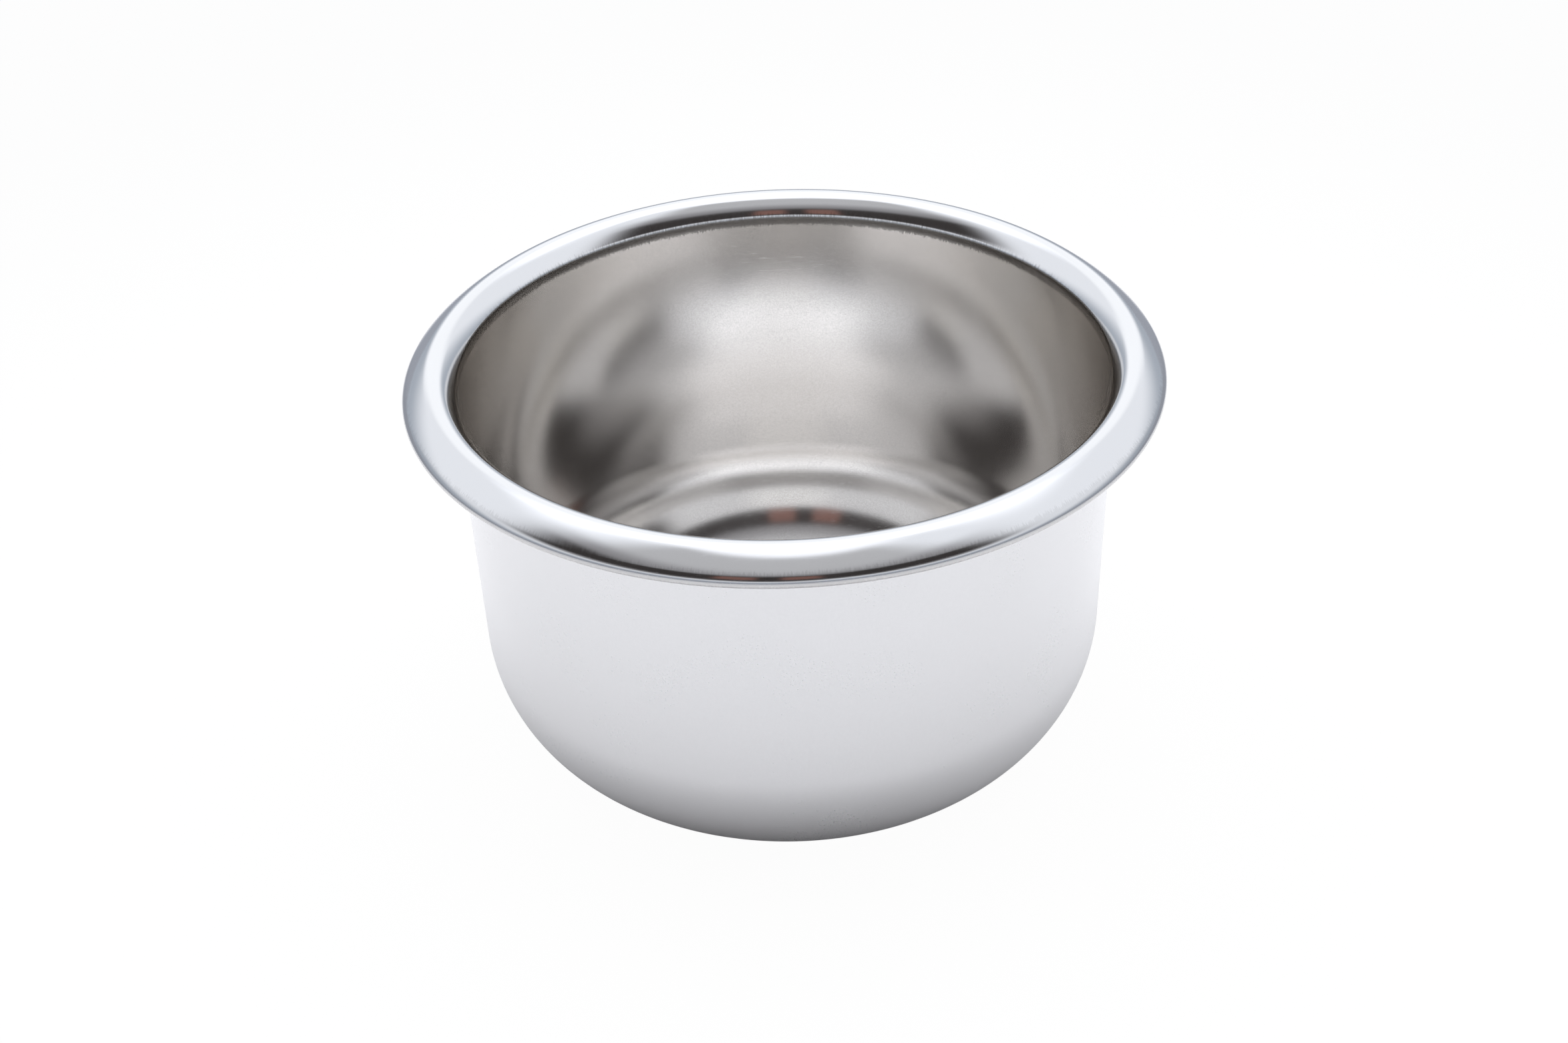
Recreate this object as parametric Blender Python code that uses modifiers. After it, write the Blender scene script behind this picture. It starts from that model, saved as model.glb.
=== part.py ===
"""Stainless-steel shaving bowl, deep drawn from one sheet, with a rolled rim.

The bowl stands on its flat base at Z = 0 and is turned about the Z axis. The skin that lines the
cup also runs over the lip and round the rolled rim, so it is drawn as one open profile: from the
middle of the floor, round the corner, up the wall, over the lip, down the flank and under the rim.
Screw turns the profile and Solidify gives it the thickness of the sheet.
"""

import math

import bpy

# Driving dimensions, in metres and degrees. Radii are those of the lining skin.
RIM_RADIUS = 0.0500
HEIGHT = 0.0594
SHEET = 0.0006

CORNER_RADIUS = 0.0204
WALL_LEAN = 2.4

NECK_BEND = 0.0095
NECK_LEAN = 10.0
MOUTH_BEND = 0.0016
LIP_BEND = 0.0068
LIP_FOOT_SLOPE = 60.0
LIP_TOP_SLOPE = 42.0
CREST_RADIUS = 0.0459
CREST_BEND = 0.0022
SHOULDER_SLOPE = 32.0
FLANK_BEND = 0.0120
EDGE_BEND = 0.0030
EDGE_SLOPE = 62.0
ROLL_BEND = 0.0009
RETURN_RADIUS = 0.0462

TURN_STEPS = 72
MERGE = 0.00005

# Segments in each bend of the profile.
CORNER_SEGMENTS = 9
NECK_SEGMENTS = 1
MOUTH_SEGMENTS = 3
LIP_SEGMENTS = 2
CREST_SEGMENTS = 3
SHOULDER_SEGMENTS = 2
FLANK_SEGMENTS = 2
EDGE_SEGMENTS = 2
ROLL_SEGMENTS = 6

STEEL_COLOUR = (0.78, 0.78, 0.79, 1.0)
STEEL_ROUGHNESS = 0.28


def clear_scene():
    for scene_object in list(bpy.data.objects):
        bpy.data.objects.remove(scene_object, do_unlink=True)


def new_collection(name):
    collection = bpy.data.collections.new(name)
    bpy.context.scene.collection.children.link(collection)
    return collection


def steel():
    material = bpy.data.materials.new("brushed_steel")
    material.use_nodes = True
    shader = material.node_tree.nodes["Principled BSDF"]
    shader.inputs["Base Color"].default_value = STEEL_COLOUR
    shader.inputs["Metallic"].default_value = 1.0
    shader.inputs["Roughness"].default_value = STEEL_ROUGHNESS
    return material


def step_out(point, distance, angle):
    """The point at this distance, along a direction in degrees from the outward radial one."""
    turn = math.radians(angle)
    return point[0] + distance * math.cos(turn), point[1] + distance * math.sin(turn)


def arcs(start, bends):
    """Points on arcs that run on from each other with no corner, in the (radius, Z) plane.

    Each bend is its radius, the angles of its first and last normal, and its number of segments.
    """
    points = [start]
    for radius, first, last, segments in bends:
        centre = step_out(points[-1], -radius, first)
        for i in range(1, segments + 1):
            points.append(step_out(centre, radius, first + (last - first) * i / segments))
    return points


def inner_rim():
    """From the crest inward, down the lip and over the edge of the mouth to the top of the wall."""
    lip_top = 90 + LIP_TOP_SLOPE
    lip_foot = 90 + LIP_FOOT_SLOPE
    return arcs((CREST_RADIUS, HEIGHT), [
        (CREST_BEND, 90, lip_top, CREST_SEGMENTS),
        (LIP_BEND, lip_top, lip_foot, LIP_SEGMENTS),
        (MOUTH_BEND, lip_foot, 180 - NECK_LEAN, MOUTH_SEGMENTS),
        (NECK_BEND, 180 - NECK_LEAN, 180 - WALL_LEAN, NECK_SEGMENTS),
    ])


def outer_rim():
    """From the crest outward, down the flank, round the rolled edge and back in under it."""
    shoulder = 90 - SHOULDER_SLOPE
    edge = 90 - EDGE_SLOPE

    # The flank falls until the rolled edge reaches the rim's radius.
    flank_r = CREST_RADIUS + (CREST_BEND - FLANK_BEND) * math.cos(math.radians(shoulder))
    edge_r = RIM_RADIUS - ROLL_BEND - (EDGE_BEND - ROLL_BEND) * math.cos(math.radians(edge))
    meet = math.degrees(math.acos((edge_r - flank_r) / (FLANK_BEND - EDGE_BEND)))
    points = arcs((CREST_RADIUS, HEIGHT), [
        (CREST_BEND, 90, shoulder, SHOULDER_SEGMENTS),
        (FLANK_BEND, shoulder, meet, FLANK_SEGMENTS),
        (EDGE_BEND, meet, edge, EDGE_SEGMENTS),
        (ROLL_BEND, edge, -90, ROLL_SEGMENTS),
    ])
    return points + [(RETURN_RADIUS, points[-1][1])]


def bowl_profile():
    rim_in = inner_rim()
    wall_top_r, wall_top_z = rim_in[-1]

    # The corner is tangent to the floor and to the leaning wall.
    lean = math.radians(WALL_LEAN)
    wall_drop = wall_top_z - SHEET - CORNER_RADIUS
    floor_radius = wall_top_r - (CORNER_RADIUS + wall_drop * math.sin(lean)) / math.cos(lean)
    corner = arcs((floor_radius, SHEET), [(-CORNER_RADIUS, 90, 180 - WALL_LEAN, CORNER_SEGMENTS)])
    return [(0.0, SHEET)] + corner + rim_in[::-1] + outer_rim()[1:]


def turned_sheet(name, profile, material, collection):
    vertices = [(radius, 0.0, height) for radius, height in profile]
    edges = [(i, i + 1) for i in range(len(vertices) - 1)]
    mesh = bpy.data.meshes.new(name)
    mesh.from_pydata(vertices, edges, [])
    mesh.materials.append(material)
    sheet = bpy.data.objects.new(name, mesh)
    collection.objects.link(sheet)

    turn = sheet.modifiers.new("turn", "SCREW")
    turn.axis = "Z"
    turn.angle = math.radians(360)
    turn.steps = TURN_STEPS
    turn.render_steps = TURN_STEPS
    turn.use_merge_vertices = True
    turn.merge_threshold = MERGE
    turn.use_smooth_shade = True

    thicken = sheet.modifiers.new("thickness", "SOLIDIFY")
    thicken.thickness = SHEET
    thicken.offset = -1.0
    thicken.use_even_offset = True
    thicken.use_rim = True
    return sheet


def main():
    clear_scene()
    collection = new_collection("shaving_bowl")
    turned_sheet("bowl", bowl_profile(), steel(), collection)


main()
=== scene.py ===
"""Shaving bowl of drawn stainless steel: fine mesh, steel finishes, studio and camera."""

import math

import bmesh
import bpy
from mathutils import Matrix, Vector


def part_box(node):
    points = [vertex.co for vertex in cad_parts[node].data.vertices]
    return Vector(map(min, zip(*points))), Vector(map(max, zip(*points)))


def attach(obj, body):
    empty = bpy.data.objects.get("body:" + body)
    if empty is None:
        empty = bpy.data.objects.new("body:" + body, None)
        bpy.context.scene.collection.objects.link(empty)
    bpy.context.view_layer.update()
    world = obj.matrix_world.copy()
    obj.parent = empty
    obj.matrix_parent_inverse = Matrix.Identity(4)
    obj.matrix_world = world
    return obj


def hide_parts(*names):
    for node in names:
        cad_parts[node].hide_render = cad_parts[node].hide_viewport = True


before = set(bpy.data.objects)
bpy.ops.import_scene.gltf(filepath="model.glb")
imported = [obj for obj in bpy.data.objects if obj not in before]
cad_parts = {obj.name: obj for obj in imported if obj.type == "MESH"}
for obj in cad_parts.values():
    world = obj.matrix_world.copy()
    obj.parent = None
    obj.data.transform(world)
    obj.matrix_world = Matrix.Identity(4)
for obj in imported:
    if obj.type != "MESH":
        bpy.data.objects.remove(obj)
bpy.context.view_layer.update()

# Sizes of the bowl, in metres and degrees. The rim and the height come from the frame.
bowl_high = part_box("bowl")[1]
RIM_RADIUS = bowl_high.x
HEIGHT = bowl_high.z
SHEET = 0.0006
CORNER_RADIUS = 0.0204
WALL_LEAN = 2.4
NECK_BEND = 0.0095
NECK_LEAN = 10.0
MOUTH_BEND = 0.0016
LIP_BEND = 0.0068
LIP_FOOT_SLOPE = 60.0
LIP_TOP_SLOPE = 42.0
CREST_RADIUS = 0.0459
CREST_BEND = 0.0022
SHOULDER_SLOPE = 32.0
FLANK_BEND = 0.0120
EDGE_BEND = 0.0030
EDGE_SLOPE = 62.0
ROLL_BEND = 0.0009
RETURN_RADIUS = 0.0462

# Segments around, and in each stretch of the profile
TURN_STEPS = 256
FLOOR_SEGMENTS = 8
CORNER_SEGMENTS = 36
WALL_SEGMENTS = 12
NECK_SEGMENTS = 6
MOUTH_SEGMENTS = 8
LIP_SEGMENTS = 8
CREST_SEGMENTS = 10
SHOULDER_SEGMENTS = 6
FLANK_SEGMENTS = 8
EDGE_SEGMENTS = 8
ROLL_SEGMENTS = 16
RETURN_SEGMENTS = 3

# The polish ends at this point of the inner rim, a little way into the mouth's bend.
POLISH_END = CREST_SEGMENTS + LIP_SEGMENTS + 3

# Tones of the steel
LINING_TONE = (0.785, 0.767, 0.745, 1)
LINING_CLOUD = (0.68, 0.665, 0.65, 1)
LINING_SPECK = (0.55, 0.535, 0.52, 1)
# Painted shade in a band under the mouth's bend
MOUTH_SHADE_TONE = (0.16, 0.155, 0.15, 1)
RIM_TONE = (0.73, 0.725, 0.72, 1)
OUTSIDE_TONE = (0.71, 0.713, 0.72, 1)
OUTSIDE_CLOUD = (0.62, 0.62, 0.63, 1)
OUTSIDE_SPECK = (0.45, 0.45, 0.46, 1)

# Depth of the grain in the steel, in metres
RELIEF = 0.0000012


def step_out(point, distance, angle):
    """The point at this distance, along a direction in degrees from the outward radial one."""
    turn = math.radians(angle)
    return point[0] + distance * math.cos(turn), point[1] + distance * math.sin(turn)


def arcs(start, bends):
    """Arcs that run on from each other with no corner.

    Each bend is its radius, the angles of its first and last normal, and its number of segments.
    """
    points = [start]
    for radius, first, last, segments in bends:
        centre = step_out(points[-1], -radius, first)
        for i in range(1, segments + 1):
            points.append(step_out(centre, radius, first + (last - first) * i / segments))
    return points


def straight(start, end, segments):
    """The points between the two ends, without the ends."""
    return [
        (start[0] + (end[0] - start[0]) * i / segments, start[1] + (end[1] - start[1]) * i / segments)
        for i in range(1, segments)
    ]


def inner_rim():
    """From the crest inward over the lip and the mouth to the top of the wall."""
    return arcs((CREST_RADIUS, HEIGHT), [
        (CREST_BEND, 90, 90 + LIP_TOP_SLOPE, CREST_SEGMENTS),
        (LIP_BEND, 90 + LIP_TOP_SLOPE, 90 + LIP_FOOT_SLOPE, LIP_SEGMENTS),
        (MOUTH_BEND, 90 + LIP_FOOT_SLOPE, 180 - NECK_LEAN, MOUTH_SEGMENTS),
        (NECK_BEND, 180 - NECK_LEAN, 180 - WALL_LEAN, NECK_SEGMENTS),
    ])


def outer_rim():
    """From the crest outward, down the flank, round the rolled edge and back in under it."""
    shoulder = 90 - SHOULDER_SLOPE
    edge = 90 - EDGE_SLOPE

    # The flank falls until the rolled edge reaches the rim's radius.
    flank_r = CREST_RADIUS + (CREST_BEND - FLANK_BEND) * math.cos(math.radians(shoulder))
    edge_r = RIM_RADIUS - ROLL_BEND - (EDGE_BEND - ROLL_BEND) * math.cos(math.radians(edge))
    meet = math.degrees(math.acos((edge_r - flank_r) / (FLANK_BEND - EDGE_BEND)))
    points = arcs((CREST_RADIUS, HEIGHT), [
        (CREST_BEND, 90, shoulder, SHOULDER_SEGMENTS),
        (FLANK_BEND, shoulder, meet, FLANK_SEGMENTS),
        (EDGE_BEND, meet, edge, EDGE_SEGMENTS),
        (ROLL_BEND, edge, -90, ROLL_SEGMENTS),
    ])
    return_end = (RETURN_RADIUS, points[-1][1])
    return points + straight(points[-1], return_end, RETURN_SEGMENTS) + [return_end]


def lining_profile():
    """The lining skin, from the middle of the floor to the end of the sheet under the rim."""
    rim_in = inner_rim()
    wall_top = rim_in[-1]
    lean = math.radians(WALL_LEAN)
    corner_z = SHEET + CORNER_RADIUS
    reach = CORNER_RADIUS + (wall_top[1] - corner_z) * math.sin(lean)
    floor_end = (wall_top[0] - reach / math.cos(lean), SHEET)
    corner = arcs(floor_end, [(-CORNER_RADIUS, 90, 180 - WALL_LEAN, CORNER_SEGMENTS)])
    middle = (0.0, SHEET)
    floor = [middle] + straight(middle, floor_end, FLOOR_SEGMENTS)
    wall = straight(corner[-1], wall_top, WALL_SEGMENTS)
    return floor + corner + wall + rim_in[::-1] + outer_rim()[1:]


def turned_mesh(name, profile):
    """The profile turned about the Z axis, closed at the middle."""
    mesh = bpy.data.meshes.new(name)
    shape = bmesh.new()
    rings = []
    for radius, height in profile:
        if radius < 1e-9:
            rings.append([shape.verts.new((0, 0, height))])
            continue
        ring = []
        for step in range(TURN_STEPS):
            turn = 2 * math.pi * step / TURN_STEPS
            ring.append(shape.verts.new((radius * math.cos(turn), radius * math.sin(turn), height)))
        rings.append(ring)
    for inner, outer in zip(rings, rings[1:]):
        for step in range(TURN_STEPS):
            after = (step + 1) % TURN_STEPS
            if len(inner) == 1:
                shape.faces.new((inner[0], outer[step], outer[after]))
            else:
                shape.faces.new((inner[step], outer[step], outer[after], inner[after]))
    for face in shape.faces:
        face.smooth = True
    shape.normal_update()
    shape.to_mesh(mesh)
    shape.free()
    piece = bpy.data.objects.new(name, mesh)
    bpy.context.scene.collection.objects.link(piece)
    return piece


# Short names for building node trees

def node(tree, kind, **settings):
    made = tree.nodes.new(kind)
    for key, value in settings.items():
        setattr(made, key, value)
    return made


def feed(tree, target, source):
    if isinstance(source, bpy.types.NodeSocket):
        tree.links.new(source, target)
    else:
        target.default_value = source


def calc(tree, operation, *inputs):
    made = node(tree, "ShaderNodeMath", operation=operation)
    for socket, source in zip(made.inputs, inputs):
        feed(tree, socket, source)
    return made.outputs[0]


def times(tree, first, second):
    return calc(tree, "MULTIPLY", first, second)


def plus(tree, source, amount, base):
    """base, plus this amount of the source."""
    return calc(tree, "MULTIPLY_ADD", source, amount, base)


def ramp(tree, source, low, high, to_low=0.0, to_high=1.0):
    made = node(tree, "ShaderNodeMapRange", interpolation_type="SMOOTHSTEP")
    inputs = {"Value": source, "From Min": low, "From Max": high, "To Min": to_low, "To Max": to_high}
    for key, value in inputs.items():
        feed(tree, made.inputs[key], value)
    return made.outputs["Result"]


def blend(tree, factor, first, second):
    made = node(tree, "ShaderNodeMix", data_type="RGBA")
    feed(tree, made.inputs[0], factor)
    feed(tree, made.inputs[6], first)
    feed(tree, made.inputs[7], second)
    return made.outputs[2]


def mix(tree, factor, first, second):
    made = node(tree, "ShaderNodeMix", data_type="FLOAT")
    feed(tree, made.inputs[0], factor)
    feed(tree, made.inputs[2], first)
    feed(tree, made.inputs[3], second)
    return made.outputs[0]


def vector(tree, x, y, z):
    made = node(tree, "ShaderNodeCombineXYZ")
    for socket, source in zip(made.inputs, (x, y, z)):
        feed(tree, socket, source)
    return made.outputs[0]


def noise(tree, where, scale, detail=2.0, roughness=0.5):
    made = node(tree, "ShaderNodeTexNoise")
    feed(tree, made.inputs["Vector"], where)
    feed(tree, made.inputs["Scale"], scale)
    feed(tree, made.inputs["Detail"], detail)
    feed(tree, made.inputs["Roughness"], roughness)
    return made.outputs[0]


def turned_noise(tree, turn, around, up):
    """Noise with this many cells per radian around the bowl and per metre of height."""
    along_x, along_y, height = turn
    east, north = times(tree, along_x, around), times(tree, along_y, around)
    return noise(tree, vector(tree, east, north, times(tree, height, up)), 1.0, 2.0)


def window(tree, source, low, high, soft):
    """1 between low and high, with soft edges outside them."""
    rise = ramp(tree, source, low - soft, low)
    return times(tree, rise, ramp(tree, source, high, high + soft, 1.0, 0.0))


def new_steel(name):
    """A steel material, and the place on it: position, radius, height and turn.

    The turn is the unit radial direction with the height.
    """
    material = bpy.data.materials.new(name)
    material.use_nodes = True
    tree = material.node_tree
    place = node(tree, "ShaderNodeTexCoord").outputs["Object"]
    parts = node(tree, "ShaderNodeSeparateXYZ")
    feed(tree, parts.inputs[0], place)
    x, y, z = parts.outputs
    radius = calc(tree, "SQRT", calc(tree, "ADD", times(tree, x, x), times(tree, y, y)))
    steady = calc(tree, "MAXIMUM", radius, 0.0005)
    along_x = calc(tree, "DIVIDE", x, steady)
    along_y = calc(tree, "DIVIDE", y, steady)
    return material, tree, place, radius, z, (along_x, along_y, z)


def scratches(tree, place, turn, length, width, keep):
    """Thin straight marks, length and width in metres, turned about all axes; 1 on a mark."""
    turned = node(tree, "ShaderNodeMapping")
    feed(tree, turned.inputs["Vector"], place)
    feed(tree, turned.inputs["Rotation"], turn)
    feed(tree, turned.inputs["Scale"], (1 / length, 1 / width, 1 / width))
    return ramp(tree, noise(tree, turned.outputs[0], 1.0, 0.0), keep, keep + 0.05)


def finish(tree, tone, roughness, height):
    shader = tree.nodes["Principled BSDF"]
    shader.inputs["Metallic"].default_value = 1.0
    feed(tree, shader.inputs["Base Color"], tone)
    feed(tree, shader.inputs["Roughness"], roughness)
    bump = node(tree, "ShaderNodeBump")
    feed(tree, bump.inputs["Height"], height)
    bump.inputs["Distance"].default_value = RELIEF
    feed(tree, shader.inputs["Normal"], bump.outputs[0])
    return shader


def lining_steel():
    """Satin inside, polished rim: the satin ends in a ragged edge at the mouth."""
    material, tree, place, radius, height, turn = new_steel("satin_and_polish")
    grain = noise(tree, place, 5200.0, 2.0, 0.6)
    cloud = noise(tree, place, 110.0, 3.0)
    rings = turned_noise(tree, turn, 3.0, 900.0)
    hairs = turned_noise(tree, turn, 230.0, 900.0)
    marks = scratches(tree, place, (0.5, 0.3, 0.9), 0.012, 0.00012, 0.72)

    # The polish ends raggedly: 1 on the polished rim, 0 on the satin.
    end_r, end_z = inner_rim()[POLISH_END]
    ragged = plus(tree, hairs, 0.0012, calc(tree, "SUBTRACT", height, 0.0006))
    above = ramp(tree, ragged, end_z - 0.0004, end_z + 0.0002)
    rim = calc(tree, "MAXIMUM", above, ramp(tree, radius, end_r + 0.0005, end_r + 0.0009))
    tone = blend(tree, rim, LINING_TONE, RIM_TONE)
    tone = blend(tree, times(tree, cloud, 0.16), tone, LINING_CLOUD)

    # Painted shade: a darker, grainy band at the ragged end of the polish, under the mouth's bend
    mouth_shade = window(tree, plus(tree, grain, 0.0005, ragged), end_z - 0.0009, end_z + 0.0003, 0.0004)
    mouth_shade = times(tree, mouth_shade, calc(tree, "SUBTRACT", 0.65, times(tree, rim, 0.5)))
    tone = blend(tree, mouth_shade, tone, MOUTH_SHADE_TONE)
    specks = times(tree, ramp(tree, grain, 0.3, 0.7), mix(tree, rim, 0.30, 0.05))
    tone = blend(tree, specks, tone, LINING_SPECK)

    satin = plus(tree, cloud, 0.05, 0.085)
    satin = plus(tree, grain, 0.04, satin)
    polish = plus(tree, cloud, 0.05, 0.055)
    polish = plus(tree, hairs, 0.04, polish)
    rough = plus(tree, marks, 0.05, mix(tree, rim, satin, polish))

    # The rolled edge is polished less than the flank.
    below = ramp(tree, height, HEIGHT - 0.0034, HEIGHT - 0.0029, 1.0, 0.0)
    edge = times(tree, below, ramp(tree, radius, RETURN_RADIUS, RETURN_RADIUS + 0.001))
    rough = plus(tree, edge, 0.28, rough)

    relief_satin = plus(tree, rings, 0.05, grain)
    relief_polish = plus(tree, hairs, 0.08, times(tree, grain, 0.15))
    relief = plus(tree, marks, -0.05, mix(tree, rim, relief_satin, relief_polish))
    shader = finish(tree, tone, rough, relief)
    shader.inputs["Anisotropic"].default_value = 0.55
    shader.inputs["Anisotropic Rotation"].default_value = 0.25
    tangent = node(tree, "ShaderNodeTangent", direction_type="RADIAL", axis="Z")
    feed(tree, shader.inputs["Tangent"], tangent.outputs[0])
    return material


def outside_steel():
    """Soft even polish of the outside."""
    material, tree, place, _, _, turn = new_steel("soft_polish")
    grain = noise(tree, place, 3600.0, 2.0, 0.6)
    cloud = noise(tree, place, 90.0, 3.0)
    rings = turned_noise(tree, turn, 5.0, 1500.0)
    tone = blend(tree, times(tree, cloud, 0.08), OUTSIDE_TONE, OUTSIDE_CLOUD)
    tone = blend(tree, times(tree, ramp(tree, grain, 0.3, 0.7), 0.06), tone, OUTSIDE_SPECK)
    rough = plus(tree, cloud, 0.04, 0.21)
    rough = plus(tree, grain, 0.06, rough)
    relief = plus(tree, rings, 0.15, times(tree, grain, 0.6))
    finish(tree, tone, rough, relief)
    return material


bowl = turned_mesh("steel_bowl", lining_profile())
thick = bowl.modifiers.new("thickness", "SOLIDIFY")
thick.thickness = SHEET
thick.offset = -1.0
thick.use_even_offset = True
thick.material_offset = 1
bowl.data.materials.append(lining_steel())
bowl.data.materials.append(outside_steel())
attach(bowl, "root")
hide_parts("bowl")

# Camera
CAMERA_LENS = 68.7
CAMERA_ELEVATION = 32.95
CAMERA_ROLL = -2.16
CAMERA_DISTANCE = 0.4058
AIM = Vector((-0.0007, 0.0, 0.0326))


def make_camera():
    camera_data = bpy.data.cameras.new("camera")
    camera_data.sensor_width = 36.0
    camera_data.lens = CAMERA_LENS
    camera = bpy.data.objects.new("camera", camera_data)
    bpy.context.scene.collection.objects.link(camera)
    turn = Matrix.Rotation(math.radians(90 - CAMERA_ELEVATION), 4, "X")
    turn = turn @ Matrix.Rotation(math.radians(CAMERA_ROLL), 4, "Z")
    back = turn.to_3x3() @ Vector((0, 0, 1))
    camera.matrix_world = Matrix.Translation(AIM + back * CAMERA_DISTANCE) @ turn
    bpy.context.scene.camera = camera


make_camera()

# Light of the tent, by part
LOW_TENT = (0.48, 0.53, 0.61, 1)
TENT = (1.05, 1.09, 1.17, 1)
BACK_PANEL = (1.26, 1.30, 1.37, 1)
HIGH_BACK = (1.9, 1.97, 2.12, 1)
OVERHEAD = (1.48, 1.52, 1.62, 1)
FRONT_GAP = (0.60, 0.61, 0.64, 1)
FRONT_SHADE = (0.33, 0.33, 0.35, 1)
STAND = (0.05, 0.045, 0.045, 1)
HANDS = (0.25, 0.135, 0.115, 1)

# The tent is brighter for the floor than for reflections.
FLOOR_LIGHT = 1.70

# Half the floor's side in metres, its tones under the bowl (a painted contact shadow), around and far
# from the bowl, and how much of it the camera sees as white
FLOOR_HALF = 2
FLOOR_SHADOW_UNDER = (0.58, 0.565, 0.55, 1)
FLOOR_AROUND = (0.86, 0.835, 0.805, 1)
FLOOR_FAR = (0.25, 0.26, 0.285, 1)
FLOOR_LIFT = 0.97


def studio_light():
    """A pale tent: bright above and behind, dim low down, with the dark camera stand at the front."""
    world = bpy.data.worlds.new("studio")
    bpy.context.scene.world = world
    world.use_nodes = True
    tree = world.node_tree
    where = node(tree, "ShaderNodeTexCoord").outputs["Generated"]
    parts = node(tree, "ShaderNodeSeparateXYZ")
    feed(tree, parts.inputs[0], where)
    x, y, z = parts.outputs
    level = calc(tree, "MAXIMUM", calc(tree, "SUBTRACT", 1.0, times(tree, z, z)), 1e-4)
    level = calc(tree, "SQRT", level)
    height = times(tree, calc(tree, "ARCSINE", z), 180 / math.pi)
    front = calc(tree, "ADD", times(tree, y, -0.985), times(tree, x, -0.17))
    front = calc(tree, "DIVIDE", front, level)
    back = calc(tree, "DIVIDE", y, level)
    side = calc(tree, "DIVIDE", x, level)

    def panel(light, first, second, colour):
        return blend(tree, times(tree, first, second), light, colour)

    def heights(low, high, soft):
        return window(tree, height, low, high, soft)

    # Tent, by height in degrees and by how far back a direction points
    light = blend(tree, ramp(tree, height, 2.0, 20.0), LOW_TENT, TENT)
    light = panel(light, ramp(tree, back, 0.80, 0.97), heights(22.0, 48.0, 10.0), BACK_PANEL)
    light = panel(light, ramp(tree, height, 40.0, 62.0), ramp(tree, back, -0.2, 0.5), HIGH_BACK)
    light = blend(tree, ramp(tree, height, 68.0, 80.0), light, OVERHEAD)

    # Front of the tent, with the dark camera stand and two hands on it
    light = panel(light, ramp(tree, front, 0.25, 0.6), heights(22.0, 70.0, 6.0), FRONT_GAP)
    light = panel(light, ramp(tree, front, -0.05, 0.55), heights(24.0, 48.0, 10.0), FRONT_SHADE)
    light = panel(light, ramp(tree, front, 0.1, 0.5), heights(27.0, 42.0, 6.0), STAND)
    hands = window(tree, calc(tree, "ABSOLUTE", calc(tree, "ADD", side, 0.12)), 0.10, 0.24, 0.06)
    hands = times(tree, hands, ramp(tree, front, 0.7, 0.8))
    light = panel(light, hands, heights(32.0, 40.0, 4.0), HANDS)

    # The camera itself sees plain white.
    rays = node(tree, "ShaderNodeLightPath").outputs
    shown = blend(tree, rays["Is Camera Ray"], light, (1, 1, 1, 1))
    background = tree.nodes["Background"]
    feed(tree, background.inputs["Color"], shown)
    feed(tree, background.inputs["Strength"], mix(tree, rays["Is Diffuse Ray"], 1.0, FLOOR_LIGHT))


def make_floor():
    """Matt floor with a painted contact shadow under the bowl, dimmer far from it, lifted to near
    white for the camera.
    """
    mesh = bpy.data.meshes.new("floor")
    half = FLOOR_HALF
    corners = [(-half, -half, 0), (half, -half, 0), (half, half, 0), (-half, half, 0)]
    mesh.from_pydata(corners, [], [(0, 1, 2, 3)])
    floor = bpy.data.objects.new("floor", mesh)
    bpy.context.scene.collection.objects.link(floor)
    material = bpy.data.materials.new("floor")
    material.use_nodes = True
    tree = material.node_tree
    matt = tree.nodes["Principled BSDF"]
    spot = node(tree, "ShaderNodeSeparateXYZ")
    feed(tree, spot.inputs[0], node(tree, "ShaderNodeTexCoord").outputs["Object"])
    east, north = spot.outputs["X"], spot.outputs["Y"]
    reach = calc(tree, "ADD", times(tree, east, east), times(tree, north, north))
    reach = calc(tree, "SQRT", reach)
    # Painted contact shadow: the floor's colour is darker under the bowl, fading out by 70 mm from
    # its middle.
    board = blend(tree, ramp(tree, reach, 0.022, 0.070), FLOOR_SHADOW_UNDER, FLOOR_AROUND)
    board = blend(tree, ramp(tree, reach, 0.12, 0.26), board, FLOOR_FAR)
    feed(tree, matt.inputs["Base Color"], board)
    matt.inputs["Roughness"].default_value = 0.9
    glow = node(tree, "ShaderNodeEmission")
    glow.inputs["Color"].default_value = (1.0, 1.0, 1.0, 1)
    lift = node(tree, "ShaderNodeMixShader")
    seen = node(tree, "ShaderNodeLightPath").outputs["Is Camera Ray"]
    feed(tree, lift.inputs[0], times(tree, seen, FLOOR_LIFT))
    feed(tree, lift.inputs[1], matt.outputs[0])
    feed(tree, lift.inputs[2], glow.outputs[0])
    feed(tree, tree.nodes["Material Output"].inputs["Surface"], lift.outputs[0])
    mesh.materials.append(material)


studio_light()
make_floor()
bpy.context.scene.view_settings.view_transform = "Standard"

# The lining reflects itself many times.
bpy.context.scene.cycles.max_bounces = 24
bpy.context.scene.cycles.glossy_bounces = 24
